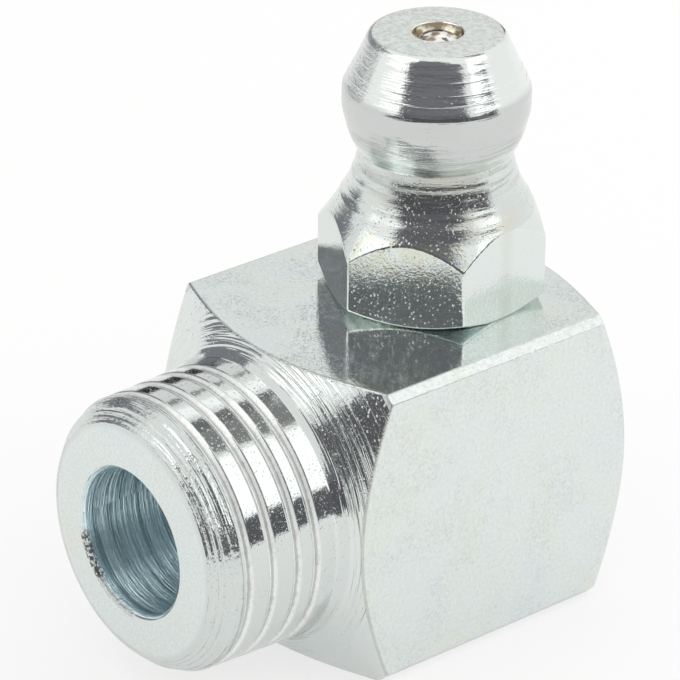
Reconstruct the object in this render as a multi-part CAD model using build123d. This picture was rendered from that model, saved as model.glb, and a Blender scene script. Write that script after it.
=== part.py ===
from build123d import *
import os
from math import ceil, cos, floor, pi, radians, sin, sqrt, tan

# Right-angle grease nipple: a short tapered-thread spigot on an elbow body cut from square bar,
# with a hexagon grease nipple screwed down into the body's top.
#
# Frame, millimetres: the spigot's axis lies along Y and its threaded end points to -Y. The origin
# is on that axis, in the gauge plane where the tapered thread has its nominal diameter. +Z points
# up through the nipple, and the body stands on the flat face below it.

# ---- elbow body: square bar, turned at both ends ----
BAR_WIDTH = 11.0  # across the bar's flats
BAR_EDGE_BEVEL = 0.29  # on the bar's four long edges
BODY_LENGTH = 11.9  # along the middle of a flat, between the two turned end cones
END_CONE_ANGLE = 30.0  # slope of the end cones, from the plane of the end
BACK_FACE_DIA = 10.2  # faced disc on the end away from the thread

# ---- spigot with a short tapered thread ----
SPIGOT_REACH = 5.5  # from the body's front to the spigot's end face
GAUGE_LENGTH = 2.5  # from the end face to the gauge plane
THREAD_DIA = 9.8  # over the crests, in the gauge plane
THREAD_TAPER = 1 / 16  # change of diameter with length
THREAD_PITCH = 1.0
GROOVE_WIDTH = 0.34  # of one thread groove at the crests
GROOVE_DEPTH = 0.25
GROOVE_ROOT = 0.06  # flat at the bottom of the groove
GROOVE_PHASE = 0.2  # from a groove's middle to the gauge plane
LAND_WIDTH = 0.4  # plain crest left before the first groove and after the last
END_FACE_DIA = 7.6  # flat part of the spigot's end face
END_BLEND_WIDTH = 0.4  # nearly flat ring around it
END_BLEND_DROP = 0.07  # how far that ring falls back
LEAD_CHAMFER_ANGLE = 45.0

# ---- grease way through the body ----
OUTLET_DIA = 5.2
OUTLET_DEPTH = 9.5
OUTLET_COUNTERSINK = 0.12
FEED_DIA = 3.0  # drilling from the outlet bore to the nipple's hole
DRILL_TIP_ANGLE = 118.0

# ---- nipple: where it stands, and its screwed shank ----
NIPPLE_SETBACK = 7.7  # from the body's front to the nipple's axis
SHANK_DIA = 5.5
SHANK_LENGTH = 5.5  # below the hexagon's seat
SHANK_CHAMFER = 0.5
HOLE_RUNOUT = 0.3  # tapped hole beyond the shank's end
HOLE_COUNTERSINK = 0.2
PILOT_DIA = 5.0  # drilled hole below the tapped part
PILOT_DEPTH = 1.0
THREAD_PLAY = 0.02  # around the shank; both screwed threads are plain cylinders

# ---- hexagon and the skirt above it ----
HEX_WIDTH = 7.0  # across flats
HEX_CORNER_DIA = 7.95  # the hexagon's corners are turned off to this
HEX_HEIGHT = 3.15  # at the middle of a flat
HEX_TURN = 4.8  # a corner's angle from the spigot's direction, as tightened
HEX_SEAT_DIA = 6.8
HEX_UNDER_CHAMFER = 30.0  # from the seat's plane
SKIRT_HALF_ANGLE = 27.5
SKIRT_CONE_HEIGHT = 4.2  # above the seat, where the cone curves in to the neck

# ---- neck and head, heights above the hexagon's seat ----
NECK_DIA = 5.3
NECK_LOW = 5.2
NECK_WIDTH = 0.08
HEAD_DIA = 6.45
BAND_LOW = 6.95
BAND_WIDTH = 0.65
HEAD_TOP = 9.48
TOP_FACE_DIA = 4.84
TOP_EDGE_BEVEL = 0.2

# ---- check valve inside the nipple ----
MOUTH_DIA = 1.76
MOUTH_DEPTH = 0.37
MOUTH_BEVEL = 0.03
SEAT_HALF_ANGLE = 45.0
CHAMBER_DIA = 2.9
TAIL_LIP_DIA = 1.9  # the shank's end is rolled in under the spring
TAIL_LIP_THICKNESS = 0.45
BALL_DIA = 2.38
BALL_SEAT_GAP = 0.02
WIRE_DIA = 0.3
COIL_DIA = 2.2  # at the middle of the wire
SPRING_END_GAP = 0.03
SPRING_TURNS = 14
SPRING_CLOSED_TURNS = 1  # at each end
WIRE_POINTS_PER_TURN = 16

# ---- places that follow from the sizes ----
SPIGOT_END_Y = -GAUGE_LENGTH
BODY_FRONT_Y = SPIGOT_END_Y + SPIGOT_REACH
BODY_BACK_Y = BODY_FRONT_Y + BODY_LENGTH
NIPPLE_Y = BODY_FRONT_Y + NIPPLE_SETBACK
SEAT_Z = BAR_WIDTH / 2
SHANK_END_Z = SEAT_Z - SHANK_LENGTH
HEAD_TOP_Z = SEAT_Z + HEAD_TOP
NIPPLE_AXIS = Axis((0, NIPPLE_Y, 0), (0, 0, 1))


def crest_radius(y):
    """Radius over the thread's crests at a place along the spigot."""
    return THREAD_DIA / 2 + y * THREAD_TAPER / 2


def cone_front_y(radius):
    """Where the body's front cone stands at a radius."""
    return BODY_FRONT_Y + (radius - BAR_WIDTH / 2) * tan(radians(END_CONE_ANGLE))


def cone_back_y(radius):
    return BODY_BACK_Y - (radius - BAR_WIDTH / 2) * tan(radians(END_CONE_ANGLE))


def groove_middles(first, last):
    """Middles of the thread's grooves, one pitch apart, from one place up to another."""
    low = ceil((first + GROOVE_PHASE) / THREAD_PITCH)
    high = floor((last + GROOVE_PHASE) / THREAD_PITCH)
    return [i * THREAD_PITCH - GROOVE_PHASE for i in range(low, high + 1)]


def spigot_outline():
    """(radius, y) points of the spigot from its end face back to the body's front cone.

    Each groove is a ring, and each crest before a groove is a short cylinder, stepped to
    follow the taper. The land behind the last groove is the tapered surface itself.
    """
    blend_r = END_FACE_DIA / 2 + END_BLEND_WIDTH
    blend_y = SPIGOT_END_Y + END_BLEND_DROP
    chamfer_rise = crest_radius(SPIGOT_END_Y) - blend_r
    crest_y = blend_y + chamfer_rise / tan(radians(LEAD_CHAMFER_ANGLE))
    shoulder_r = crest_radius(BODY_FRONT_Y)
    shoulder_y = cone_front_y(shoulder_r)
    margin = LAND_WIDTH + GROOVE_WIDTH / 2
    points = [(END_FACE_DIA / 2, SPIGOT_END_Y), (blend_r, blend_y)]
    for middle in groove_middles(crest_y + margin, shoulder_y - margin):
        radius = crest_radius(crest_y)
        points += [
            (radius, crest_y),
            (radius, middle - GROOVE_WIDTH / 2),
            (radius - GROOVE_DEPTH, middle - GROOVE_ROOT / 2),
            (radius - GROOVE_DEPTH, middle + GROOVE_ROOT / 2),
        ]
        crest_y = middle + GROOVE_WIDTH / 2
    return points + [(crest_radius(crest_y), crest_y), (shoulder_r, shoulder_y)]


def revolved(points, axis, place):
    """Solid turned from an outline of (radius, height) points, placed by a function."""
    wire = Polyline(*[place(r, h) for r, h in points], close=True)
    return revolve(make_face(wire), axis, 360)


def along_spigot(radius, y):
    return (radius, y, 0)


def along_nipple(radius, z):
    return (radius, NIPPLE_Y, z)


def elbow_body():
    """Square bar turned at both ends, with the threaded spigot, bored from the end and the top."""
    bar_corner = BAR_WIDTH / sqrt(2)
    outline = [(0, SPIGOT_END_Y)] + spigot_outline()
    outline += [
        (bar_corner, cone_front_y(bar_corner)),
        (bar_corner, cone_back_y(bar_corner)),
        (BACK_FACE_DIA / 2, cone_back_y(BACK_FACE_DIA / 2)),
        (0, cone_back_y(BACK_FACE_DIA / 2)),
    ]
    turned = revolved(outline, Axis.Y, along_spigot)
    length = cone_back_y(BACK_FACE_DIA / 2) - SPIGOT_END_Y
    bar = Pos(0, SPIGOT_END_Y + length / 2, 0) * Box(BAR_WIDTH, length, BAR_WIDTH)
    bar = chamfer(bar.edges().filter_by(Axis.Y), BAR_EDGE_BEVEL)
    return (turned & bar) - outlet_bore() - nipple_hole()


def outlet_bore():
    """Bore in from the spigot's end, and the smaller feed drilling on to the nipple's hole."""
    outlet_r = OUTLET_DIA / 2
    feed_r = FEED_DIA / 2
    drill_tip = 1 / tan(radians(DRILL_TIP_ANGLE / 2))
    outlet_end = SPIGOT_END_Y + OUTLET_DEPTH
    outline = [
        (0, SPIGOT_END_Y),
        (outlet_r + OUTLET_COUNTERSINK, SPIGOT_END_Y),
        (outlet_r, SPIGOT_END_Y + OUTLET_COUNTERSINK),
        (outlet_r, outlet_end),
        (feed_r, outlet_end + (outlet_r - feed_r) * drill_tip),
        (feed_r, NIPPLE_Y),
        (0, NIPPLE_Y),
    ]
    return revolved(outline, Axis.Y, along_spigot)


def nipple_hole():
    """Tapped hole for the nipple's shank, with the pilot drilling and its tip below."""
    tapped_r = SHANK_DIA / 2 + THREAD_PLAY
    pilot_r = PILOT_DIA / 2
    tapped_end = SHANK_END_Z - HOLE_RUNOUT
    pilot_end = tapped_end - PILOT_DEPTH
    outline = [
        (0, SEAT_Z),
        (tapped_r + HOLE_COUNTERSINK, SEAT_Z),
        (tapped_r, SEAT_Z - HOLE_COUNTERSINK),
        (tapped_r, tapped_end),
        (pilot_r, tapped_end),
        (pilot_r, pilot_end),
        (0, pilot_end - pilot_r / tan(radians(DRILL_TIP_ANGLE / 2))),
    ]
    return revolved(outline, NIPPLE_AXIS, along_nipple)


def hex_nipple():
    """Nipple in one turned piece: shank, hexagon, skirt, neck and head, hollow for the valve."""

    def point(radius, height):
        return along_nipple(radius, SEAT_Z + height)

    shank_r = SHANK_DIA / 2
    corner_r = HEX_CORNER_DIA / 2
    seat_r = HEX_SEAT_DIA / 2
    under_height = (corner_r - seat_r) * tan(radians(HEX_UNDER_CHAMFER))
    cone_slope = tan(radians(SKIRT_HALF_ANGLE))
    corner_height = HEX_HEIGHT - (corner_r - HEX_WIDTH / 2) / cone_slope
    skirt_r = HEX_WIDTH / 2 - (SKIRT_CONE_HEIGHT - HEX_HEIGHT) * cone_slope
    neck_r = NECK_DIA / 2
    head_r = HEAD_DIA / 2
    chamber_r = CHAMBER_DIA / 2
    mouth_r = MOUTH_DIA / 2
    seat_rise = (chamber_r - mouth_r) / tan(radians(SEAT_HALF_ANGLE))
    chamber_top = HEAD_TOP - MOUTH_DEPTH - seat_rise

    below = Polyline(
        point(mouth_r, HEAD_TOP - MOUTH_DEPTH),
        point(chamber_r, chamber_top),
        point(chamber_r, TAIL_LIP_THICKNESS - SHANK_LENGTH),
        point(TAIL_LIP_DIA / 2, TAIL_LIP_THICKNESS - SHANK_LENGTH),
        point(TAIL_LIP_DIA / 2, -SHANK_LENGTH),
        point(shank_r - SHANK_CHAMFER, -SHANK_LENGTH),
        point(shank_r, SHANK_CHAMFER - SHANK_LENGTH),
        point(shank_r, 0),
        point(seat_r, 0),
        point(corner_r, under_height),
        point(corner_r, corner_height),
        point(skirt_r, SKIRT_CONE_HEIGHT),
    )
    skirt = TangentArc(
        point(skirt_r, SKIRT_CONE_HEIGHT), point(neck_r, NECK_LOW), tangent=(-cone_slope, 0, 1)
    )
    neck = Line(point(neck_r, NECK_LOW), point(neck_r, NECK_LOW + NECK_WIDTH))
    under_head = TangentArc(
        point(head_r, BAND_LOW), point(neck_r, NECK_LOW + NECK_WIDTH), tangent=(0, 0, -1)
    )
    above = Polyline(
        point(head_r, BAND_LOW),
        point(head_r, BAND_LOW + BAND_WIDTH),
        point(TOP_FACE_DIA / 2, HEAD_TOP - TOP_EDGE_BEVEL),
        point(TOP_FACE_DIA / 2 - TOP_EDGE_BEVEL, HEAD_TOP),
        point(mouth_r + MOUTH_BEVEL, HEAD_TOP),
        point(mouth_r, HEAD_TOP - MOUTH_BEVEL),
        point(mouth_r, HEAD_TOP - MOUTH_DEPTH),
    )
    wire = Wire([*below.edges(), *skirt.edges(), *neck.edges(), *under_head.edges(), *above.edges()])
    turned = revolve(make_face(wire), NIPPLE_AXIS, 360)
    hexagon = RegularPolygon(HEX_WIDTH / 2, 6, major_radius=False, rotation=HEX_TURN - 90)
    prism = extrude(Pos(0, NIPPLE_Y, SHANK_END_Z) * hexagon, SHANK_LENGTH + HEAD_TOP)
    return turned & prism


def ball_centre_z():
    """The ball hangs just under the mouth's lower edge, which it closes."""
    edge_z = HEAD_TOP_Z - MOUTH_DEPTH
    return edge_z - sqrt((BALL_DIA / 2 + BALL_SEAT_GAP) ** 2 - (MOUTH_DIA / 2) ** 2)


def check_ball():
    return Pos(0, NIPPLE_Y, ball_centre_z()) * Sphere(BALL_DIA / 2)


def valve_spring():
    """Compression spring from the rolled tail lip up to the ball, with closed end turns."""
    coil_r = COIL_DIA / 2
    touch = BALL_DIA / 2 + WIRE_DIA / 2 + SPRING_END_GAP
    top_z = ball_centre_z() - sqrt(touch**2 - coil_r**2)
    bottom_z = SHANK_END_Z + TAIL_LIP_THICKNESS + WIRE_DIA / 2 + SPRING_END_GAP
    closed_rise = WIRE_DIA + SPRING_END_GAP
    open_turns = SPRING_TURNS - 2 * SPRING_CLOSED_TURNS
    open_rise = (top_z - bottom_z - 2 * closed_rise * SPRING_CLOSED_TURNS) / open_turns
    count = SPRING_TURNS * WIRE_POINTS_PER_TURN
    points = []
    z = bottom_z
    for i in range(count + 1):
        turn = i / WIRE_POINTS_PER_TURN
        angle = 2 * pi * turn
        points.append((coil_r * cos(angle), NIPPLE_Y + coil_r * sin(angle), z))
        closed = turn < SPRING_CLOSED_TURNS or turn >= SPRING_TURNS - SPRING_CLOSED_TURNS
        z += (closed_rise if closed else open_rise) / WIRE_POINTS_PER_TURN
    path = Spline(*points)
    section = Plane(origin=path @ 0, z_dir=path % 0) * Circle(WIRE_DIA / 2)
    upright = Line((0, NIPPLE_Y, bottom_z), (0, NIPPLE_Y, top_z))
    return sweep(section, path=path, binormal=upright.edge())


os.makedirs("parts", exist_ok=True)
for name, build in {
    "elbow_body": elbow_body,
    "hex_nipple": hex_nipple,
    "check_ball": check_ball,
    "valve_spring": valve_spring,
}.items():
    export_step(build(), f"parts/{name}.step")
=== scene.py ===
# %% [markdown]
# # A right-angle grease nipple
# Grease goes in at the round head on top, past a small ball, down through the hexagon nipple and
# out of the bore in the threaded spigot. The body is a piece of square steel bar, turned at both
# ends. Both steel pieces are zinc plated, so the picture is made by what the bright metal mirrors:
# the shapes have to be exact, and the studio around them matters as much as the finish.
#
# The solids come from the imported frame. The elbow and the nipple are modelled again here, because
# turned steel has small ridges, rounded grooves and broken edges that its mirror finish shows. The
# ball and the spring keep the shapes they have in the frame.

from math import cos, pi, radians, sin, tan

import bpy
from mathutils import Matrix, Vector


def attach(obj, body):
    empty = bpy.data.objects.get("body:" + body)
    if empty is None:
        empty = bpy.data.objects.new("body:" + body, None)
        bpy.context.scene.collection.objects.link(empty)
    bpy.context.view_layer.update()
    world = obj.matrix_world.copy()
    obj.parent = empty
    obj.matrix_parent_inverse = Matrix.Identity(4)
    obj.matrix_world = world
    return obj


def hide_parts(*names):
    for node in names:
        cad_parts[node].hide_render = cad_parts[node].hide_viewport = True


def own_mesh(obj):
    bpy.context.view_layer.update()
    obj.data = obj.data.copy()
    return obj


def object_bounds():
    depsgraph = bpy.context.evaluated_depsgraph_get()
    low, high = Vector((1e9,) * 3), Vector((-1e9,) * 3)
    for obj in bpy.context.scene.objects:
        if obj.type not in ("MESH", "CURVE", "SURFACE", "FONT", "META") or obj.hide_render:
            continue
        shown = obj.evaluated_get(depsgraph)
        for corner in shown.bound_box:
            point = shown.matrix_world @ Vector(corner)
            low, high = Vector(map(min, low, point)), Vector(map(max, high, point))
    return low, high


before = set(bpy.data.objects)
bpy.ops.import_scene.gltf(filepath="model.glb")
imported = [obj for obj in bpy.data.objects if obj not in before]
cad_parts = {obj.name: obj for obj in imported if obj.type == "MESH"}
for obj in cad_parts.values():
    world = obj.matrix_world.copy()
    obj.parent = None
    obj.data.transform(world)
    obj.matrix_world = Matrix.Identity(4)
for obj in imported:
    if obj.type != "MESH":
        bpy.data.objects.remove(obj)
cad_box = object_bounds()
print("CAD box, mm:", [[round(c * 1000, 2) for c in corner] for corner in cad_box])

# %% [markdown]
# ## Sizes
# Everything is modelled in millimetres, at 1 Blender unit to the millimetre, because merging and
# cutting work better on numbers near one than on thousandths. The last step of each piece brings
# it down to metres. The origin is on the spigot's axis, which runs along Y.

# %% Sizes of the elbow, in millimetres
BAR = 11.0  # across the flats of the square bar
BAR_CORNERS = {(1, 1): 0.29, (-1, 1): 0.08, (1, -1): 0.42, (-1, -1): 0.29}  # sides x, z: width
FRONT_Y, BACK_Y = 3.0, 14.9  # where the turned end cones reach a flat's middle
CONE_SLOPE = tan(radians(30))
BACK_FACE_R = 5.1
SPIGOT_END_Y = -2.5
END_FACE_R = 3.8
CREST_R = 4.9  # of the thread, at the origin
TAPER = 1 / 32  # growth of the radius with length
GROOVE_ENDS_Y = (-1.03, -0.05, 0.95, 1.76)  # where each groove comes up to the next crest
OUTLET_R = 2.6
OUTLET_END_Y = 7.0
FEED_R = 1.5
EDGE_BREAK = 0.045  # the least rounding that plating leaves on a sharp edge

# %% Sizes of the nipple, in millimetres above the elbow's top
SEAT_Z = BAR / 2
NIPPLE_Y = 10.7
HEX_FLAT = 7.0
HEX_CORNER_R = 4.2  # beyond the corners, so that they stay sharp
HEX_OFFSET = 0.09  # the hexagon is that far off the turned axis, as on a quick lathe
HEX_OFFSET_ANGLE = radians(-130.17)  # towards which side, from +X towards +Y
HEX_TURN = radians(4.8)
HEX_EDGE_BREAK = EDGE_BREAK * 1.6
SHANK_R = 2.75
SHANK_LENGTH = 5.5
MOUTH_R = 0.86
MOUTH_DEPTH = 0.37
CHAMBER_R = 1.45
HEAD_R = 3.215
HEAD_TOP = 9.48
LATHE_STEPS = 192
CUTTER_STEPS = 157  # not in step with the solids, so that no two edges lie on each other

# %% [markdown]
# ## Turning, as on a lathe
# A turned piece is one outline carried round an axis. The outline starts as a plane merged to a
# single point, which is extruded from corner to corner, and Spin carries it round. Merging closes
# the seam, and the normals are recalculated because a spun surface can come out inside out.

# %% Drawing an outline and turning it
SEAM_GAP = 1e-4  # corners closer than this are the same corner
SLIVER = 0.004  # a cut leaves faces narrower than this, which are merged away


def deselect():
    bpy.ops.object.select_all(action="DESELECT")


def draw_outline(name, points):
    """A chain of edges through the points, left open in edit mode with all of it selected."""
    deselect()
    bpy.ops.mesh.primitive_plane_add(size=1, location=points[0])
    piece = bpy.context.object
    piece.name = name
    bpy.ops.object.mode_set(mode="EDIT")
    bpy.ops.mesh.select_mode(type="VERT")
    bpy.ops.mesh.merge(type="CENTER")
    for start, end in zip(points, points[1:]):
        step = Vector(end) - Vector(start)
        bpy.ops.mesh.extrude_vertices_move(TRANSFORM_OT_translate={"value": step})
    bpy.ops.mesh.select_all(action="SELECT")
    return piece


def finish_mesh():
    """Ends edit mode with the seam merged, faces outward and the place kept in the mesh."""
    bpy.ops.mesh.select_all(action="SELECT")
    bpy.ops.mesh.remove_doubles(threshold=SEAM_GAP)
    bpy.ops.mesh.normals_make_consistent(inside=False)
    bpy.ops.object.mode_set(mode="OBJECT")
    bpy.ops.object.transform_apply(location=True, rotation=True, scale=True)


def turn(name, points, centre, axis, steps=LATHE_STEPS):
    """A solid turned about an axis. Its outline starts and ends on the axis, or is a ring."""
    piece = draw_outline(name, points)
    bpy.ops.mesh.spin(steps=steps, angle=2 * pi, center=centre, axis=axis)
    finish_mesh()
    print(f"{name}: turned from {len(points)} points, {len(piece.data.polygons)} faces")
    return piece


def combine(piece, tool, operation):
    """Cuts, joins or intersects a piece with a tool, which is used up."""
    deselect()
    bpy.context.view_layer.objects.active = piece
    modifier = piece.modifiers.new(operation, "BOOLEAN")
    modifier.operation, modifier.solver, modifier.object = operation, "EXACT", tool
    bpy.ops.object.modifier_apply(modifier=modifier.name)
    bpy.data.objects.remove(tool)
    bpy.ops.object.mode_set(mode="EDIT")
    bpy.ops.mesh.select_all(action="SELECT")
    bpy.ops.mesh.remove_doubles(threshold=SLIVER)
    bpy.ops.object.mode_set(mode="OBJECT")
    print(f"{piece.name}: {operation.lower()}, {len(piece.data.polygons)} faces")


# %% [markdown]
# ## The elbow's body
# The real body starts as drawn square bar, and the lathe then cuts a cone on each end and the
# spigot. The same two steps work here: a chamfered block is intersected with one turned solid.
# That gives the curved edges where a cone leaves a flat, which are hyperbolas and would be hard
# to draw.
#
# The spigot tapers. Its grooves are shallow, with wide crests between them, and they lie square to
# the axis all the way round, so they belong in the outline. Each one falls in a soft shoulder and
# comes up again in a steeper wall, which faces the spigot's end. Behind the last crest the spigot
# curves out into the cone.


# %% Outline of everything the lathe cuts, and the bar it is cut from
def crest_radius(y):
    return CREST_R + y * TAPER


def cone_y(end_y, radius, outward):
    """Place along the axis of an end cone's surface at a radius."""
    return end_y + outward * (BAR / 2 - radius) * CONE_SLOPE


BEYOND_BAR_R = 8.2
FILLET_START_Y, FILLET_STEP = 2.36, 0.08  # where the spigot starts to curve out to the cone
FILLET_END_R = 5.3
lead = [(4.2, -2.43), (4.24, -2.34), (4.33, -2.28), (4.36, -2.2), (4.48, -2.14), (4.5, -2.05)]
lead += [(4.62, -1.99), (4.63, -1.92), (4.68, -1.84), (4.69, -1.77), (4.745, -1.7), (4.755, -1.62)]
lead += [(4.79, -1.55), (4.8, -1.49)]
groove_shape = [(0, -0.46), (0.008, -0.415), (0.035, -0.35), (0.075, -0.29), (0.115, -0.24)]
groove_shape += [(0.14, -0.2), (0.14, -0.17)]
groove_shape += [(0.1, -0.125), (0.045, -0.07), (0.015, -0.035), (0, 0)]
spigot = [(r, y, 0) for r, y in lead]
for end_y in GROOVE_ENDS_Y:
    spigot += [(crest_radius(end_y + y) - depth, end_y + y, 0) for depth, y in groove_shape]
root_r, root_y = crest_radius(FILLET_START_Y), FILLET_START_Y
for tilt in (18, 20, 22, 25, 30, 38, 50):
    spigot.append((root_r, root_y, 0))
    root_r += FILLET_STEP * sin(radians(tilt))
    root_y += FILLET_STEP * cos(radians(tilt))
spigot.append((FILLET_END_R, cone_y(FRONT_Y, FILLET_END_R, -1), 0))

envelope = turn(
    "envelope",
    [
        (0, SPIGOT_END_Y, 0),
        (END_FACE_R, SPIGOT_END_Y, 0),
        *spigot,
        (BEYOND_BAR_R, cone_y(FRONT_Y, BEYOND_BAR_R, -1), 0),
        (BEYOND_BAR_R, cone_y(BACK_Y, BEYOND_BAR_R, 1), 0),
        (BACK_FACE_R, cone_y(BACK_Y, BACK_FACE_R, 1), 0),
        (0, cone_y(BACK_Y, BACK_FACE_R, 1), 0),
    ],
    centre=(0, 0, 0),
    axis=(0, 1, 0),
)

# %% The square bar, with its four long edges broken one by one, each to its own width
BAR_MIDDLE_Y, BAR_LENGTH = 6.5, 22  # longer than the elbow at both ends, for the lathe to cut
deselect()
bpy.ops.mesh.primitive_cube_add(
    size=1, location=(0, BAR_MIDDLE_Y, 0), scale=(BAR, BAR_LENGTH, BAR)
)
elbow = bpy.context.object
elbow.name = "elbow"
bpy.ops.object.transform_apply(location=True, rotation=True, scale=True)
for (side_x, side_z), width in BAR_CORNERS.items():
    bpy.ops.object.mode_set(mode="EDIT")
    bpy.ops.mesh.select_mode(type="EDGE")
    bpy.ops.mesh.select_all(action="DESELECT")
    bpy.ops.object.mode_set(mode="OBJECT")
    for edge in elbow.data.edges:
        a, b = (elbow.data.vertices[i].co for i in edge.vertices)
        at_corner = min(v.x * side_x + v.z * side_z for v in (a, b)) > BAR - 0.01
        edge.select = at_corner and abs(a.y - b.y) > 1
    bpy.ops.object.mode_set(mode="EDIT")
    bpy.ops.mesh.bevel(offset=width, segments=1)
    bpy.ops.object.mode_set(mode="OBJECT")
print("bar:", len(elbow.data.polygons), "faces")
combine(elbow, envelope, "INTERSECT")

# %% [markdown]
# ## The holes
# The outlet bore runs in from the spigot, and a smaller drilling carries on to the hole that the
# nipple is screwed into. Each one is a turned cutter with the cone that a drill's point leaves.

# %% Outlet bore, feed drilling and the nipple's hole
DRILL_POINT = tan(radians(31))
PROUD = 1.0  # a cutter stands that far out of the face it enters, so that it cuts right through
THREAD_R = SHANK_R + 0.02
THREAD_END_Z = -0.3
COUNTERSINK = 0.2
TAP_DRILL_R = 2.5
TAP_DRILL_END_Z = -1.3
OUTLET_CHAMFER = 0.12
FEED_END_Y = NIPPLE_Y + 0.3

nipple_hole = turn(
    "nipple_hole_cutter",
    [
        (0, NIPPLE_Y, SEAT_Z + PROUD),
        (THREAD_R + COUNTERSINK + PROUD, NIPPLE_Y, SEAT_Z + PROUD),
        (THREAD_R, NIPPLE_Y, SEAT_Z - COUNTERSINK),
        (THREAD_R, NIPPLE_Y, THREAD_END_Z),
        (TAP_DRILL_R, NIPPLE_Y, THREAD_END_Z),
        (TAP_DRILL_R, NIPPLE_Y, TAP_DRILL_END_Z),
        (0, NIPPLE_Y, TAP_DRILL_END_Z - TAP_DRILL_R * DRILL_POINT),
    ],
    centre=(0, NIPPLE_Y, 0),
    axis=(0, 0, 1),
    steps=CUTTER_STEPS,
)
combine(elbow, nipple_hole, "DIFFERENCE")

outlet = turn(
    "outlet_cutter",
    [
        (0, SPIGOT_END_Y - PROUD, 0),
        (OUTLET_R + OUTLET_CHAMFER + PROUD, SPIGOT_END_Y - PROUD, 0),
        (OUTLET_R, SPIGOT_END_Y + OUTLET_CHAMFER, 0),
        (OUTLET_R, OUTLET_END_Y, 0),
        (FEED_R, OUTLET_END_Y + (OUTLET_R - FEED_R) * DRILL_POINT, 0),
        (FEED_R, FEED_END_Y, 0),
        (0, FEED_END_Y, 0),
    ],
    centre=(0, 0, 0),
    axis=(0, 1, 0),
    steps=CUTTER_STEPS,
)
combine(elbow, outlet, "DIFFERENCE")

# %% [markdown]
# No edge of a plated part is perfectly sharp. A narrow bevel on the bar's edges catches a line of
# light, which is how the eye finds the edge. It comes after the cutting, because a cut through
# bevelled corners can go wrong.


# %% Breaking the edges of the bar
def break_edges(piece, sharper_than, keep, width):
    """Bevels the edges that turn by more than an angle, where keep(vertex) is true at both ends.

    The widths of a bevel are held back by the shortest edge, so the shortest are merged first.
    """
    deselect()
    piece.select_set(True)
    bpy.context.view_layer.objects.active = piece
    bpy.ops.object.mode_set(mode="EDIT")
    bpy.ops.mesh.select_mode(type="VERT")
    bpy.ops.mesh.select_all(action="DESELECT")
    bpy.ops.object.mode_set(mode="OBJECT")
    for vertex in piece.data.vertices:
        vertex.select = keep(vertex.co)
    bpy.ops.object.mode_set(mode="EDIT")
    bpy.ops.mesh.remove_doubles(threshold=width * 0.8)
    bpy.ops.mesh.select_mode(type="EDGE")
    bpy.ops.mesh.select_all(action="DESELECT")
    bpy.ops.mesh.edges_select_sharp(sharpness=radians(sharper_than))
    bpy.ops.object.mode_set(mode="OBJECT")
    for edge in piece.data.edges:
        ends = [piece.data.vertices[i].co for i in edge.vertices]
        edge.select = edge.select and all(keep(v) for v in ends)
    chosen = sum(edge.select for edge in piece.data.edges)
    bpy.ops.object.mode_set(mode="EDIT")
    bpy.ops.mesh.bevel(offset=width, segments=3, clamp_overlap=False)
    bpy.ops.object.mode_set(mode="OBJECT")
    print(f"{piece.name}: {chosen} edges broken, {len(piece.data.polygons)} faces")


def on_bar(vertex):
    """On the outside of the bar, and clear of the spigot and of the nipple's hole."""
    in_hole = vertex.z > 0 and Vector((vertex.x, vertex.y - NIPPLE_Y)).length < SHANK_R + 0.4
    across = max(abs(vertex.x), abs(vertex.z))
    return vertex.y > FRONT_Y - 0.2 and across > BAR / 2 - 0.4 and not in_hole


break_edges(elbow, 20, on_bar, EDGE_BREAK)

# %% [markdown]
# ## The nipple
# The nipple is turned from hexagon bar: the lathe cuts the shank below, and the skirt, the neck
# and the head above, and leaves six flats between. A fast feed left ridges on the skirt, about a
# third of a millimetre apart. They are in the outline, as a row of shallow scallops.


# %% Outline of the nipple, in radius and height above the seat
def scallops(ridges, depth):
    """Points from ridge to ridge, with the surface between them cut in by a shallow arc."""
    points = [ridges[0]]
    for (r0, h0), (r1, h1) in zip(ridges, ridges[1:]):
        for share in (0.12, 0.35, 0.65, 0.88):
            dip = depth * 4 * share * (1 - share)
            points.append((r0 + (r1 - r0) * share - dip, h0 + (h1 - h0) * share))
        points.append((r1, h1))
    return points


LIP_R, LIP_THICKNESS = 0.95, 0.45  # the shank's end, rolled in to hold the spring
SHANK_CHAMFER = 0.5
HEX_FOOT_R = 3.4  # of the face that sits on the elbow
HEX_FOOT_RISE = (HEX_CORNER_R - HEX_FOOT_R) * tan(radians(30))
SHANK_END = -SHANK_LENGTH
MOUTH_CHAMFER = 0.03

chamber = [
    (MOUTH_R, HEAD_TOP - MOUTH_DEPTH),
    (CHAMBER_R, HEAD_TOP - MOUTH_DEPTH - (CHAMBER_R - MOUTH_R)),
    (CHAMBER_R, LIP_THICKNESS + SHANK_END),
    (LIP_R, LIP_THICKNESS + SHANK_END),
    (LIP_R, SHANK_END),
]
shank = [(SHANK_R - SHANK_CHAMFER, SHANK_END), (SHANK_R, SHANK_CHAMFER + SHANK_END), (SHANK_R, 0)]
hexagon_blank = [(HEX_FOOT_R, 0), (HEX_CORNER_R, HEX_FOOT_RISE)]
hexagon_blank += [(HEX_CORNER_R, 2.06), (3.5, 3.1), (3.36, 3.36)]
skirt = scallops(
    [(3.25, 3.58), (3.05, 3.93), (2.86, 4.4), (2.725, 4.85), (2.66, 5.27)], depth=0.022
)
neck = [(2.665, 5.33), (2.72, 5.42), (2.82, 5.6), (2.9, 5.76), (2.965, 5.92)]
neck += [(3.03, 6.12), (3.085, 6.34), (3.15, 6.58), (3.195, 6.78)]
head = [(HEAD_R, 6.96), (HEAD_R, 7.44)]
head += [(HEAD_R - 0.01, 7.53), (HEAD_R - 0.033, 7.62), (HEAD_R - 0.07, 7.7)]
head += [(3.035, 7.94), (3.012, 7.965), (2.87, 8.28), (2.848, 8.305), (2.455, 9.15)]
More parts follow.
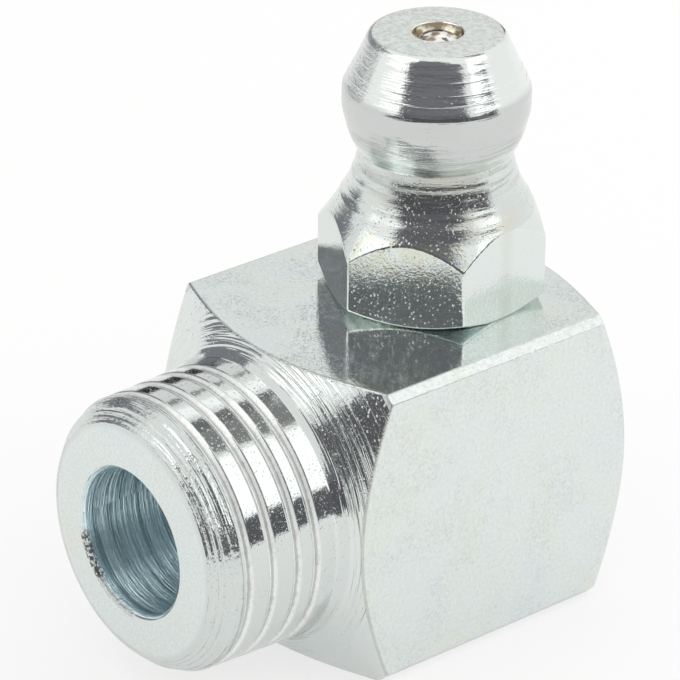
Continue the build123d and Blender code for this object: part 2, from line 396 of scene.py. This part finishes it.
top = [(2.415, 9.26), (2.35, 9.37), (2.27, 9.44), (2.17, HEAD_TOP)]
mouth_edge = [
    (MOUTH_R + MOUTH_CHAMFER, HEAD_TOP),
    (MOUTH_R, HEAD_TOP - MOUTH_CHAMFER),
    (MOUTH_R, HEAD_TOP - MOUTH_DEPTH),
]
nipple_outline = chamber + shank + hexagon_blank + skirt + neck + head + top + mouth_edge
print(f"the outline runs from {min(h for r, h in nipple_outline)} to {HEAD_TOP} mm")

# %% Turning the nipple, and milling its hexagon
nipple = turn(
    "nipple",
    [(r, NIPPLE_Y, SEAT_Z + h) for r, h in nipple_outline],
    centre=(0, NIPPLE_Y, 0),
    axis=(0, 0, 1),
)
deselect()
bpy.ops.mesh.primitive_cylinder_add(
    vertices=6,
    radius=HEX_FLAT / 2 / cos(radians(30)),
    depth=20,
    location=(
        HEX_OFFSET * cos(HEX_OFFSET_ANGLE),
        NIPPLE_Y + HEX_OFFSET * sin(HEX_OFFSET_ANGLE),
        SEAT_Z + 1,
    ),
    rotation=(0, 0, HEX_TURN),
)
hexagon = bpy.context.object
bpy.ops.object.transform_apply(location=True, rotation=True, scale=True)
combine(nipple, hexagon, "INTERSECT")


def on_hexagon(vertex):
    """Out at the flats, between the seat and the skirt."""
    radius = Vector((vertex.x, vertex.y - NIPPLE_Y)).length
    return 3.28 < radius and 0.1 < vertex.z - SEAT_Z < 3.5


break_edges(nipple, 22, on_hexagon, HEX_EDGE_BREAK)

# %% [markdown]
# ## Smooth shading
# A turned face has to shade as one curve, and a milled flat has to stay flat. Smoothing by angle
# keeps the sharp edges, and Weighted Normal lets the widest face at each edge decide, so the
# narrow bevels do all of the turning and the flats mirror like plane glass.


# %% Shading, bringing down to metres, and joining the frame
def hand_over(piece, node, angle):
    """Shades a finished piece, brings it down to metres and puts it in place of its solid."""
    deselect()
    piece.select_set(True)
    bpy.context.view_layer.objects.active = piece
    bpy.ops.object.mode_set(mode="EDIT")
    bpy.ops.mesh.select_all(action="SELECT")
    bpy.ops.mesh.remove_doubles(threshold=SEAM_GAP)
    bpy.ops.object.mode_set(mode="OBJECT")
    bpy.ops.object.shade_smooth_by_angle(angle=radians(angle))
    weighted = piece.modifiers.new("flat_faces", "WEIGHTED_NORMAL")
    weighted.mode, weighted.weight, weighted.keep_sharp = "FACE_AREA", 60, True
    for modifier in [m.name for m in piece.modifiers]:
        bpy.ops.object.modifier_apply(modifier=modifier)
    piece.scale = (0.001, 0.001, 0.001)
    bpy.ops.object.transform_apply(location=True, rotation=True, scale=True)
    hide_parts(node)
    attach(piece, "fitting")
    print(f"{piece.name}: {len(piece.data.polygons)} faces in place of {node}")


hand_over(elbow, "elbow_body", angle=28)
hand_over(nipple, "hex_nipple", angle=28)

# %% [markdown]
# ## The spring
# The spring stands on the rolled-in lip of the shank and holds the ball up, and gets shorter as the
# ball is pushed in. It has to get shorter as the ball is pushed in, and a imported solid can't, so
# a copy of its mesh stands in for it.

# %% A copy of the spring's mesh
spring_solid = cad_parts["valve_spring"]
spring = bpy.data.objects.new("spring", spring_solid.data.copy())
bpy.context.collection.objects.link(spring)
spring.matrix_world = spring_solid.matrix_world.copy()
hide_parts("valve_spring")
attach(spring, "fitting")
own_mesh(spring)

# %% [markdown]
# ## Writing a finish as a sum
# A finish is easier to read as arithmetic than as wires. `Value` wraps a socket that varies over
# the surface, and turns +, -, * and / into Math nodes, from either side, so that 1 - groove works
# as well as groove * 0.3. A Math node would turn a colour grey, so colours are mixed instead.


# %% A number that varies over the surface
class Value:
    """A number that varies over a surface, usable in ordinary arithmetic."""

    def __init__(self, finish, socket):
        self.finish, self.socket = finish, socket

    def math(self, operation, *others):
        sockets = dict(enumerate((self, *others)))
        return self.finish.value("Math", {"operation": operation}, sockets)

    def __add__(self, other):
        return self.math("ADD", other)

    def __sub__(self, other):
        return self.math("SUBTRACT", other)

    def __mul__(self, other):
        return self.math("MULTIPLY", other)

    def __truediv__(self, other):
        return self.math("DIVIDE", other)

    def __neg__(self):
        return self.math("MULTIPLY", -1)

    def __rsub__(self, other):
        return -self + other

    def __rtruediv__(self, other):
        return self.math("POWER", -1) * other

    __radd__ = __add__
    __rmul__ = __mul__

    def size(self):
        """The number without its sign."""
        return self.math("ABSOLUTE")

    def over(self, start, end):
        """0 below start and 1 above end, with an even rise between (or the other way round)."""
        settings = {"interpolation_type": "SMOOTHSTEP"}
        if start < end:
            sockets = {"Value": self, "From Min": start, "From Max": end}
            return self.finish.value("MapRange", settings, sockets)
        sockets = {"Value": self, "From Min": end, "From Max": start, "To Min": 1, "To Max": 0}
        return self.finish.value("MapRange", settings, sockets)

    def within(self, low, high, edge=0.02):
        """1 from low to high, and falling to 0 over the edge on each side."""
        return self.over(low - edge, low) * self.over(high + edge, high)


# %% [markdown]
# `Finish` is a material. One method makes every node: it takes the node's type, its settings, and
# what goes into its sockets. The others are the few patterns that these finishes are made of.


# %% A finish, put together node by node
class Finish:
    """A material whose patterns are worked out from the place on the surface."""

    def __init__(self, name):
        self.material = bpy.data.materials.new(name)
        self.material.use_nodes = True
        self.nodes = self.material.node_tree.nodes
        self.nodes.clear()

    def node(self, kind, settings, sockets):
        made = self.nodes.new("ShaderNode" + kind)
        for setting, value in settings.items():
            setattr(made, setting, value)
        for name, value in sockets.items():
            if isinstance(value, Value):
                value = value.socket
            if isinstance(value, bpy.types.NodeSocket):
                self.material.node_tree.links.new(value, made.inputs[name])
            else:
                made.inputs[name].default_value = value
        return made

    def value(self, kind, settings, sockets, output=0):
        return Value(self, self.node(kind, settings, sockets).outputs[output])

    def place(self):
        """The place on the surface in millimetres, as a vector and as x, y and z."""
        place = self.node("TexCoord", {}, {}).outputs["Object"]
        scaled = self.node("VectorMath", {"operation": "SCALE"}, {0: place, "Scale": 1000})
        parts = self.node("SeparateXYZ", {}, {0: scaled.outputs[0]})
        return scaled.outputs[0], *(Value(self, part) for part in parts.outputs)

    def vector(self, x, y, z):
        return self.node("CombineXYZ", {}, {0: x, 1: y, 2: z}).outputs[0]

    def grain(self, place, scale, detail=2, rough=0.5, twist=0.0):
        """Smooth random values round 0, between about -0.5 and 0.5."""
        sockets = {"Vector": place, "Scale": scale, "Detail": detail, "Roughness": rough}
        sockets["Distortion"] = twist
        return self.value("TexNoise", {}, sockets) - 0.5

    def dots(self, place, scale, share, size):
        """1 in the middle of small scattered dots, 0 elsewhere. A share of the cells has one."""
        cell = self.node("TexVoronoi", {}, {"Vector": place, "Scale": scale, "Randomness": 1})
        parts = self.node("SeparateColor", {}, {0: cell.outputs["Color"]})
        chosen = Value(self, parts.outputs[0]).over(1 - share, 1.001 - share)
        return Value(self, cell.outputs["Distance"]).over(size, size * 0.2) * chosen

    def mix(self, factor, first, second):
        """A colour from first to second."""
        settings = {"data_type": "RGBA"}
        return self.node("Mix", settings, {0: factor, 6: first, 7: second}).outputs[2]

    def paint(self, height_um, roughness, colour, **constants):
        """The shader: bare metal with a bump whose height is in thousandths of a millimetre."""
        bump = self.node("Bump", {}, {"Strength": 1, "Distance": 1e-6, "Height": height_um})
        sockets = {"Base Color": colour, "Metallic": 1, "Roughness": roughness}
        sockets["Normal"] = bump.outputs[0]
        shader = self.node("BsdfPrincipled", {}, {**sockets, **constants})
        self.node("OutputMaterial", {}, {"Surface": shader.outputs[0]})


def coat(piece, finish):
    piece.data.materials.clear()
    piece.data.materials.append(finish.material)
    print(f"{piece.name}: {finish.material.name}, {len(finish.nodes)} nodes")


# %% [markdown]
# ## Zinc plate on the elbow
# Bright zinc takes its colour from the clear blue passivation over it: nearly white, with a cast
# that drifts between blue and a trace of yellow. What the lathe left shows through the plating.
# On the cones and the spigot it is fine rings, on the bar's flats only a faint grain and some
# handling marks, and in the bore a helix of tool lines. Scattered specks stand proud of it.
#
# The first step marks out the zones of the piece. Each one is a number that is 1 inside the zone
# and 0 outside, worked out from the place on the surface, so no zone has to be painted.

# %% The zones of the elbow
WHITE_ZINC = (0.79, 0.84, 0.815, 1)
BLUE_ZINC = (0.76, 0.83, 0.835, 1)
YELLOW_ZINC = (0.79, 0.825, 0.765, 1)
BORE_ZINC = (0.78, 0.96, 1.0, 1)

zinc = Finish("zinc_on_the_elbow")
place, x, y, z = zinc.place()
radius = (x * x + z * z).math("SQRT")
angle = z.math("ARCTAN2", x)

across = x.size().math("MAXIMUM", z.size())
flat = across.over(5.484, 5.494) * y.over(2.9, 2.96)
bore = radius.over(2.68, 2.64) * y.over(7.5, 7.0)
end_face = y.over(-2.44, -2.48) * (1 - bore)
long_edge = (x.size() + z.size()).over(10.5, 10.54) * (1 - flat)
turned = (1 - flat) * (1 - bore) * (1 - long_edge)
cone = turned * y.over(2.55, 2.75)
lead_zone = turned * y.over(-1.3, -1.55) * (1 - end_face)
sunk = CREST_R + y * TAPER - radius
uneven = zinc.grain(place, 3, detail=4, rough=0.75)
groove = (sunk + uneven * 0.03).over(0.01, 0.05) * turned * y.over(-1.42, -1.34) * y.over(2.3, 2.2)
# the bottom of each groove, which gets painted shade below
painted_shade_groove_bottom = groove * (sunk + uneven * 0.05).over(0.095, 0.13)
print("zones marked out with", len(zinc.nodes), "nodes")

# %% [markdown]
# The height of the surface comes next, in thousandths of a millimetre. The tool's feed leaves a
# wave with sharp crests, and uneven rings lie over it where the tool tore the steel. They are
# deepest on the cones, near the spigot, and nearly gone on the end face.

# %% What the lathe and the drill left
CONE_FEED = 0.19  # how far the tool moved in one turn
BORE_FEED = 0.35
feed = radius + zinc.grain(zinc.vector(radius, angle * 0.8, 0), 1.5) * 0.16
marks = (feed * (pi / CONE_FEED)).math("SINE").size() * -11
ring_place = zinc.vector(radius + y * 0.6, angle * 0.25, 0)
rings = zinc.grain(ring_place, 5.5, detail=2, rough=0.6) * 70
patchy = zinc.grain(zinc.vector(radius * 0.3, angle * 1.6, y), 1.3, detail=1) * 2.4 + 0.9
deep = cone * (radius.over(6.9, 5.6) * 1.1 + 0.35)
height = (rings + marks) * patchy * (deep + lead_zone * 0.9)
height = height + rings * (end_face * 0.05 + turned * 0.03)
chatter = zinc.grain(zinc.vector(radius * 3, angle * 9, y * 3), 1, detail=3, rough=0.7)
height = height + chatter * (lead_zone * 38 + cone * 3 + groove * 22)

bore_place = zinc.vector(y + angle / (2 * pi) * BORE_FEED, angle * 0.05, 0)
tool_lines = zinc.grain(bore_place, 2.6, detail=5, rough=0.74) * 220
fine_lines = zinc.grain(zinc.vector(radius, angle * 0.3, y), 9, detail=4, rough=0.7) * 44
height = height + (tool_lines + fine_lines) * bore
dull_lines = zinc.grain(bore_place, 3.6, detail=4, rough=0.7).over(0.02, -0.1)
print(f"the lathe's marks are {CONE_FEED} mm apart on the cones and {BORE_FEED} mm in the bore")

# %% [markdown]
# The flats are as the bar was drawn: slightly wavy, with a faint grain along the bar. Handling has
# added a few scuffs, and the drill has pushed up a torn burr at the lower edge of the bore.

# %% Drawn flats, scuffs, the burr, worn edges and specks
waves = zinc.grain(place, 0.9, detail=2) * 4 + zinc.grain(place, 6, detail=3, rough=0.6) * 5
height = height + waves * (flat * 0.8 + turned * 0.6)
drawn = zinc.grain(zinc.vector(x, y * 0.12, z), 9, detail=3, rough=0.6)
height = height + drawn * flat * 1.5

scuff_place = zinc.vector(x * 0.9 + y * 0.55, y * 0.9 - z * 0.5, z + y * 0.2)
scuff_lines = zinc.grain(scuff_place, 3.4, detail=4, rough=0.7, twist=0.4).size()
scuff_patch = zinc.grain(place, 0.65, detail=2).over(-0.1, 0.2)
scuffs = scuff_lines.over(0.011, 0.0) * scuff_patch * flat
height = height - scuffs * 4

burr = radius.within(2.6, 2.84, 0.05) * y.over(-2.28, -2.36) * angle.within(-2.8, -1.6, 0.15)
# patches in the torn burr's crevices, which get painted shade below
painted_shade_burr_crevices = burr * angle.over(-2.15, -2.3) * zinc.grain(place, 8, detail=3).over(-0.03, 0.03)
height = height + zinc.grain(place, 4.5, detail=3, rough=0.7) * burr * 220

# a rough seam where a cone leaves a flat
from_cone = y - radius * CONE_SLOPE - (FRONT_Y - BAR / 2 * CONE_SLOPE)
seam = across.over(5.43, 5.47) * from_cone.size().over(0.1, 0.05)
height = height + zinc.grain(place, 11, detail=2, rough=0.7) * seam * 26

clusters = zinc.grain(place, 0.8, detail=2).over(-0.12, 0.12) * 0.8 + 0.2
grit = zinc.grain(place, 15, detail=2, rough=0.6).over(0.13, 0.24) * clusters
dark_corner = cone * radius.over(5.4, 6.4)
spots = zinc.dots(place, 7, share=0.4, size=0.32) * (dark_corner * 0.6 + turned * 0.4)
grit = (grit * (1 - end_face * 0.5) * (1 - flat * 0.4) + spots) * (1 - bore)
height = height + grit * 8
height = height + zinc.grain(place, 5, detail=4, rough=0.75) * long_edge * 30
print("relief made with", len(zinc.nodes), "nodes")

# %% [markdown]
# Colour goes on in thin layers, each mixed over the last by its own zone. Most are close to the
# colour below, because a mirror shows every step of colour as a stain.

# %% The elbow's colours and gloss
cast = zinc.grain(place, 0.5, detail=3, rough=0.6)
colour = zinc.mix(cast.over(-0.02, 0.16), WHITE_ZINC, BLUE_ZINC)
colour = zinc.mix(cast.over(-0.02, -0.18), colour, YELLOW_ZINC)
mottle = zinc.grain(place, 8, detail=4, rough=0.7).over(-0.14, 0.16)
colour = zinc.mix(mottle * (flat + end_face) * 0.7, colour, (0.69, 0.735, 0.715, 1))
colour = zinc.mix(turned * (1 - end_face) * 0.6, colour, (0.70, 0.73, 0.72, 1))
crests = turned * y.over(2.4, 2.2) * (1 - end_face)
colour = zinc.mix(crests * 0.4, colour, (0.60, 0.63, 0.61, 1))
# painted shade: the concave fillet where the spigot curves out into the cone is darkened a little
painted_shade_at_root = turned * y.over(FILLET_START_Y, FILLET_START_Y + 0.1) * from_cone.over(-0.015, -0.06)
colour = zinc.mix(painted_shade_at_root * 0.1, colour, (0.30, 0.29, 0.27, 1))
colour = zinc.mix(seam * 0.5, colour, (0.46, 0.45, 0.41, 1))
rubbed = zinc.grain(place, 6, detail=5, rough=0.8).over(-0.06, 0.12) * long_edge
colour = zinc.mix(rubbed * 0.5, colour, (0.58, 0.61, 0.60, 1))
colour = zinc.mix(scuffs * 0.4, colour, (0.50, 0.53, 0.51, 1))
# the grooves are paler and less metallic than the crests: a rough cut wall, with the pale colour
# partly a painted highlight
colour = zinc.mix(groove, colour, (0.90, 0.915, 0.895, 1))
colour = zinc.mix(groove * uneven.over(-0.02, 0.14) * 0.5, colour, (0.66, 0.67, 0.65, 1))
# painted shade: a thin dark line along the bottom of each groove
colour = zinc.mix(painted_shade_groove_bottom * 0.6, colour, (0.40, 0.41, 0.40, 1))
colour = zinc.mix(bore, colour, BORE_ZINC)
colour = zinc.mix(bore * dull_lines * 0.7, colour, (0.26, 0.40, 0.46, 1))
# painted shade: near-black patches in the crevices of the torn burr
colour = zinc.mix(painted_shade_burr_crevices * 0.92, colour, (0.07, 0.055, 0.05, 1))
roughness = 0.08 + end_face * 0.16 + bore * 0.13 + long_edge * 0.2 + grit * 0.2 + groove * 0.3
roughness = roughness + lead_zone * 0.08 + zinc.grain(place, 2.5) * 0.05
metal = 1 - groove * (1 - painted_shade_groove_bottom * 0.5) * 0.7 - bore * 0.15 - painted_shade_burr_crevices * 0.5
zinc.paint(height, roughness, colour, Metallic=metal)
coat(elbow, zinc)

# %% [markdown]
# ## Zinc plate on the nipple
# The nipple was turned on an automatic lathe from free-cutting steel, so its rings are coarser,
# and some of them are torn. Its hexagon keeps the bright drawn face of the bar.

# %% The zones of the nipple
GREY_ZINC = (0.70, 0.74, 0.71, 1)

bright = Finish("zinc_on_the_nipple")
place, x, y, z = bright.place()
side = y - NIPPLE_Y
rise = z - SEAT_Z
radius = (x * x + side * side).math("SQRT")
angle = side.math("ARCTAN2", x)

hex_flat = rise.over(3.3, 3.2) * radius.over(3.42, 3.46)
top_face = rise.over(HEAD_TOP - 0.03, HEAD_TOP - 0.015)
mouth = radius.over(0.95, 0.9)
turned = 1 - hex_flat
skirt_zone = rise.within(3.2, 5.3, 0.15)
head_cone = rise.over(7.6, 7.9) * (1 - top_face)
belt = rise.within(5.9, 7.6, 0.2)
front_face = hex_flat * angle.within(-1.49, -0.44, 0.03)
painted_dark_left_face = hex_flat * angle.within(-2.6, -1.53, 0.03)
painted_dark_front_skirt = skirt_zone * angle.within(-1.25, -0.25, 0.25)
left_side = angle.within(-2.8, -1.75, 0.25) * rise.over(5.6, 6.2) * (1 - top_face)
print("zones marked out with", len(bright.nodes), "nodes")

# %% [markdown]
# The head's cone has three clear ridges, where the tool paused. The mouth and the head's left side
# are bumpy, and the front of the skirt and of the hexagon carries the most specks.

# %% Rings, ridges and specks on the nipple
# each ridge has its place above the seat, its height in thousandths and the width of its slopes
HEAD_RIDGES = ((8.005, 5, 0.025), (8.315, 4, 0.025), (8.705, 2, 0.02))
HEAD_FEED = 0.31
along = rise + radius * 0.35
ring_place = bright.vector(along, angle * 0.2, 0)
rings = bright.grain(ring_place, 6.5, detail=3, rough=0.6) * 22
fine_rings = bright.grain(ring_place, 15, detail=2, rough=0.6) * 5
broad_rings = bright.grain(bright.vector(along, 0, 0), 2.4, detail=2) * 22
patchy = bright.grain(bright.vector(x, side, z), 0.8, detail=2) * 2.6 + 0.9
height = ((rings + fine_rings) * patchy + broad_rings * 0.6) * turned * (1 - top_face * 0.75)
height = height * (1 - skirt_zone * 0.5) * (1 - head_cone * 0.45)
feed = rise + bright.grain(bright.vector(0, 0, rise), 2) * 0.15
height = height - (feed * (pi / HEAD_FEED)).math("SINE").size() * head_cone * 1.6
for ridge_rise, ridge_height, edge in HEAD_RIDGES:
    height = height + rise.within(ridge_rise - 0.005, ridge_rise + 0.005, edge) * ridge_height
height = height + bright.grain(place, 4.5, detail=4, rough=0.75) * left_side * 30

torn_place = bright.vector(x, side, rise * 5)
torn = bright.grain(torn_place, 2.8, detail=4, rough=0.7)
height = height + torn * skirt_zone * 5
height = height + bright.grain(place, 1.1, detail=2) * 4
height = height + bright.grain(place, 3, detail=2) * mouth * 40
height = height + bright.grain(place, 9, detail=3, rough=0.6) * (4 + hex_flat * 4)

clusters = bright.grain(place, 0.9, detail=2).over(-0.12, 0.12) * 0.8 + 0.2
dark_side = front_face.math("MAXIMUM", skirt_zone * 0.9)
warped = bright.grain(place, 15, detail=2, rough=0.6)
grit = warped.over(0.14, 0.24) * clusters * (1 - dark_side * 0.6)
spots = bright.dots(place, 9, share=0.42, size=0.36) + bright.dots(place, 6, share=0.2, size=0.3)
grit = grit + spots * (warped * 3 + 1) * (clusters * 0.7 + 0.3) * (dark_side * 0.85 + 0.15)
height = height + grit * (5 + dark_side * 7)
print("relief made with", len(bright.nodes), "nodes")

# %% The nipple's colours and gloss
cast = bright.grain(place, 0.6, detail=3, rough=0.6)
colour = bright.mix(cast.over(-0.02, 0.16), GREY_ZINC, (0.67, 0.725, 0.72, 1))
colour = bright.mix(cast.over(-0.02, -0.18), colour, (0.71, 0.72, 0.655, 1))
colour = bright.mix((hex_flat + top_face).math("MINIMUM", 1) * 0.7, colour, WHITE_ZINC)
colour = bright.mix(head_cone * 0.7, colour, (0.86, 0.89, 0.87, 1))
colour = bright.mix(belt * 0.75, colour, (0.60, 0.61, 0.605, 1))
mottle = bright.grain(place, 4, detail=5, rough=0.75).over(-0.1, 0.12)
colour = bright.mix(top_face * 0.8, colour, (0.87, 0.90, 0.87, 1))
colour = bright.mix(mottle * top_face * 0.9, colour, (0.66, 0.70, 0.67, 1))
# painted dark reflection: the front of the skirt, on the camera's side, is darkened
colour = bright.mix(painted_dark_front_skirt * 0.4, colour, (0.44, 0.44, 0.42, 1))
# painted shade in the waist between the skirt and the head, broken into rings
painted_shade_neck_rings = bright.grain(ring_place, 5, detail=4, rough=0.7).over(-0.04, 0.1)
painted_shade_neck_rings = painted_shade_neck_rings * rise.within(4.6, 6.2, 0.4)
colour = bright.mix(painted_shade_neck_rings * 0.6, colour, (0.44, 0.45, 0.42, 1))
groove_stain = rings.over(3.5, 9) * skirt_zone
colour = bright.mix(groove_stain * 0.85, colour, (0.55, 0.50, 0.36, 1))
# painted shade: the hexagon's left flat is darkened as it mirrors the dim side of the room
colour = bright.mix(painted_dark_left_face * 0.6, colour, (0.60, 0.635, 0.615, 1))
tarnish = bright.grain(place, 1.7, detail=3, rough=0.6).over(-0.1, 0.12) * front_face
tarnish = tarnish * rise.over(1.2, 2.3)
colour = bright.mix(tarnish * 0.6, colour, (0.70, 0.72, 0.57, 1))
colour = bright.mix(mouth * 0.8, colour, (0.86, 0.84, 0.73, 1))
roughness = 0.11 + top_face * 0.1 + mouth * 0.08 - hex_flat * 0.03 + grit * 0.2
bright.paint(height, roughness + bright.grain(place, 3) * 0.05, colour)
coat(nipple, bright)

# %% [markdown]
# ## The ball and the spring
# The ball is hardened steel, polished, and coloured in light and dark-brown patches: painted
# highlights and painted dark reflections, with the brown of old grease. The spring is drawn wire
# with lines along it. Both can be seen only through a small mouth, so they stay simple.

# %% Their finishes
polished = Finish("polished_steel_ball")
place, x, y, z = polished.place()
# painted highlights and dark reflections on the ball, laid as random blotches, with a grease-brown
# dark end
painted_glints_and_grease = polished.grain(place, 2.4, detail=1)
colour = polished.mix(painted_glints_and_grease.over(-0.06, 0.1), (0.93, 0.90, 0.86, 1), (0.34, 0.27, 0.20, 1))
polished.paint(polished.grain(place, 1.8, detail=2) * 22, 0.07 + painted_glints_and_grease * 0.05, colour)
coat(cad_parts["check_ball"], polished)

wire = Finish("drawn_spring_wire")
place, x, y, z = wire.place()
lines = wire.grain(wire.vector(x * 4, y * 4, z * 9), 3, detail=3)
colour = wire.mix(lines.over(-0.2, 0.2), (0.52, 0.51, 0.49, 1), (0.36, 0.35, 0.34, 1))
wire.paint(lines * 3, 0.3 + lines * 0.15, colour)
coat(spring, wire)

# %% [markdown]
# ## The studio
# Bright metal has no look of its own: it shows the room. The room here is a white tent with a few
# dark openings in it. Each one is a piece of a large sphere, given by its compass angle and its
# height above the horizon, and only reflections see it. Compass angle 0 is towards the spigot,
# 90 is along +X, where the camera's side is, and 180 is behind the elbow.


# %% Cards on the tent, and the table it stands on
def card(name, left, right, low, high, brightness, tint=(1, 1, 1)):
    """A patch of the tent. left and right are each the compass angle at the low and high edge."""
    deselect()
    bpy.ops.mesh.primitive_grid_add(x_subdivisions=24, y_subdivisions=12, size=1)
    piece = bpy.context.object
    piece.name = name
    distance = 0.6 + 0.01 * card.made
    card.made += 1
    for vertex in piece.data.vertices:
        u, v = vertex.co.x + 0.5, vertex.co.y + 0.5
        left_edge = left[0] + (left[1] - left[0]) * v
        right_edge = right[0] + (right[1] - right[0]) * v
        compass = radians(left_edge + (right_edge - left_edge) * u)
        rise = radians(low + (high - low) * v)
        vertex.co = distance * Vector(
            (sin(compass) * cos(rise), -cos(compass) * cos(rise), sin(rise))
        )
    paint = Finish(name)
    shown = [brightness * c for c in tint] + [1]
    light = paint.node("Emission", {}, {"Color": shown, "Strength": 1})
    paint.node("OutputMaterial", {}, {"Surface": light.outputs[0]})
    piece.data.materials.append(paint.material)
    piece.visible_camera = piece.visible_diffuse = piece.visible_shadow = False
    piece.visible_transmission = False


card.made = 0
DARK_TINT = (0.98, 0.97, 1.07)
card("front_opening_low", (-18, 3), (92, 90), -3, 24, 0.12, DARK_TINT)
card("front_opening_high", (3, 12), (91, 58), 24, 64, 0.19, DARK_TINT)
card("right_back_dark", (91, 91), (126, 126), -2, 18, 0.13, DARK_TINT)
card("left_dim", (-112, -110), (-62, -50), -2, 44, 0.25, DARK_TINT)
card("left_back_line", (-150, -150), (-105, -105), 1, 15, 0.04)
card("left_back_wall", (-165, -165), (-112, -112), 15, 33, 0.88)
card("left_back_shelf", (-130, -130), (-115, -115), 33, 40, 0.3)
card("overhead_dark", (-166, -166), (-149, -149), 53, 64, 0.2)
card("overhead_grey", (-203, -203), (-166, -166), 53, 64, 0.28)
card("softbox_right", (98, 112), (134, 153), 19, 56, 1.5)
card("softbox_left_low", (-38, -38), (1, 4), 20, 42, 1.4)
card("softbox_left_high", (-40, -44), (4, 8), 42, 66, 2.1)
card("softbox_back", (-155, -160), (-125, -132), 44, 51.5, 1.3)
print("tent:", card.made, "cards")

# %% The table
deselect()
bpy.ops.mesh.primitive_plane_add(size=1.2, location=(0, 0, cad_box[0][2]))
table = bpy.context.object
table.name = "table"
paper = Finish("white_paper")
place, x, y, z = paper.place()
rays = paper.node("LightPath", {}, {})
camera_ray = Value(paper, rays.outputs["Is Camera Ray"])
mirrored = Value(paper, rays.outputs["Is Glossy Ray"])
mirrored = (mirrored + Value(paper, rays.outputs["Is Transmission Ray"])).math("MINIMUM", 1)
# on the table, to_front is how far a place is on the camera's side and to_side is across that
to_front = x * 0.765 - y * 0.644
to_side = x * 0.644 + y * 0.765
shaded = to_front.over(14, 40) * to_side.size().over(45, 14) * mirrored
grey = paper.mix(shaded, (0.93, 0.93, 0.92, 1), (0.84, 0.85, 0.83, 1))
matt = paper.node("BsdfDiffuse", {}, {"Color": grey})
glow = paper.node("Emission", {}, {"Color": (1, 1, 1, 1), "Strength": 1})
share = camera_ray * 0.7 + mirrored * 0.55
both = paper.node("MixShader", {}, {0: share, 1: matt.outputs[0], 2: glow.outputs[0]})
paper.node("OutputMaterial", {}, {"Surface": both.outputs[0]})
table.data.materials.append(paper.material)
print(f"table: {-cad_box[0][2] * 1000:.2f} mm below the spigot's axis")

# %% The white room and the softbox
world = bpy.data.worlds.new("white_room")
bpy.context.scene.world = world
world.use_nodes = True
world.node_tree.nodes.clear()
background = world.node_tree.nodes.new("ShaderNodeBackground")
background.inputs["Color"].default_value = (1, 1, 1, 1)
background.inputs["Strength"].default_value = 0.97
surface = world.node_tree.nodes.new("ShaderNodeOutputWorld")
world.node_tree.links.new(background.outputs[0], surface.inputs["Surface"])


def look_at(thing, place, target):
    thing.location = place
    thing.rotation_euler = (Vector(target) - Vector(place)).to_track_quat("-Z", "Y").to_euler()


OBJECT_MIDDLE = Vector((0, 0.0065, 0.005))
compass, rise, distance = radians(140), radians(36), 0.4
direction = Vector((sin(compass) * cos(rise), -cos(compass) * cos(rise), sin(rise)))
deselect()
bpy.ops.object.light_add(type="AREA", location=OBJECT_MIDDLE + direction * distance)
softbox = bpy.context.object
softbox.name = "softbox"
softbox.data.shape = "RECTANGLE"
softbox.data.size, softbox.data.size_y = 0.29, 0.215
softbox.data.energy = 0.27
softbox.visible_glossy = False
look_at(softbox, softbox.location, OBJECT_MIDDLE)
print(f"softbox: {softbox.data.energy:.2f} W from {distance} m away")

# %% [markdown]
# ## The camera
# A long lens close to a part this small keeps the hexagon's and the bar's edges nearly parallel.

# %% Placing the camera by compass angle, height and roll
compass, rise, roll = radians(49.88152), radians(26.93672), radians(0.65599)
aim = Vector((0.00010005, 0.00647605, 0.00477268))
camera_distance = 0.14746456
back = Vector((sin(compass) * cos(rise), -cos(compass) * cos(rise), sin(rise)))
level = Vector((cos(compass), sin(compass), 0))
up = back.cross(level)
right = cos(roll) * level + sin(roll) * up
camera_data = bpy.data.cameras.new("camera")
camera_data.lens = 229.77
camera_data.sensor_width = 36
camera_data.clip_start = 0.01
camera_data.clip_end = 5
camera = bpy.data.objects.new("camera", camera_data)
bpy.context.collection.objects.link(camera)
turned_axes = Matrix((right, back.cross(right), back)).transposed().to_4x4()
camera.matrix_world = Matrix.Translation(aim + back * camera_distance) @ turned_axes
bpy.context.scene.camera = camera
print(f"camera: {camera_distance * 1000:.0f} mm away, with a lens of {camera_data.lens:.0f} mm")

# %% The view transform
bpy.context.scene.view_settings.view_transform = "Standard"
